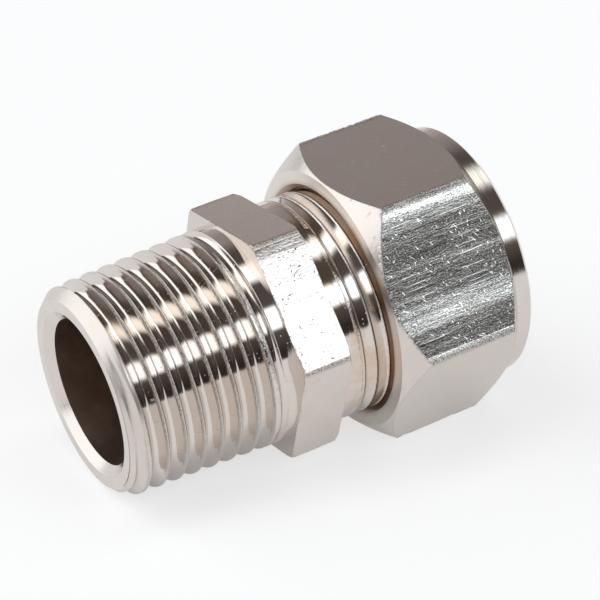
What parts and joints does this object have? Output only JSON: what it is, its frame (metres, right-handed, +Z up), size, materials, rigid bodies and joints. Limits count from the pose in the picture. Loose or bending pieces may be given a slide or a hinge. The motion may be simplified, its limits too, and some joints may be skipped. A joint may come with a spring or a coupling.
{
  "type": "pneumatic fitting",
  "caption": "Straight male compression fitting that joins a plain tube to a taper pipe thread, with a hexagon union nut over a compression ring.",
  "frame": {"origin": "on the floor, under the middle of the part's box, as it lies on the nut's flat and the first crest of the pipe thread", "axes": "+X runs from the pipe end to the tube end, level along the floor. The turned axis rises from it by 6.27 degrees towards the tube end. +Z is up."},
  "size_m": [0.0432, 0.03, 0.0272],
  "materials": {
    "body_metal": "bright nickel plate",
    "compression_ring_metal": "plain turned brass",
    "nut_metal": "bright nickel plate"
  },
  "bodies": {
    "fitting_body": {"body": "body_metal"},
    "ring": {"compression_ring": "compression_ring_metal"},
    "union_nut": {"nut": "nut_metal"}
  },
  "joints": [
    {"name": "ring_slide", "type": "slide", "parent": "fitting_body", "child": "ring", "axis": [0.994, 0, 0.1093], "range_m": [0, 0.0054]},
    {"name": "nut_turn", "type": "hinge", "parent": "ring", "child": "union_nut", "pos_m": [0.01294, 0, 0.01372], "axis": [0.994, 0, 0.1093], "range_deg": [0, 1440]}
  ],
  "couplings": [
    {"joint": "ring_slide", "follows": "nut_turn", "m_per_rad": 0.00021277}
  ]
}
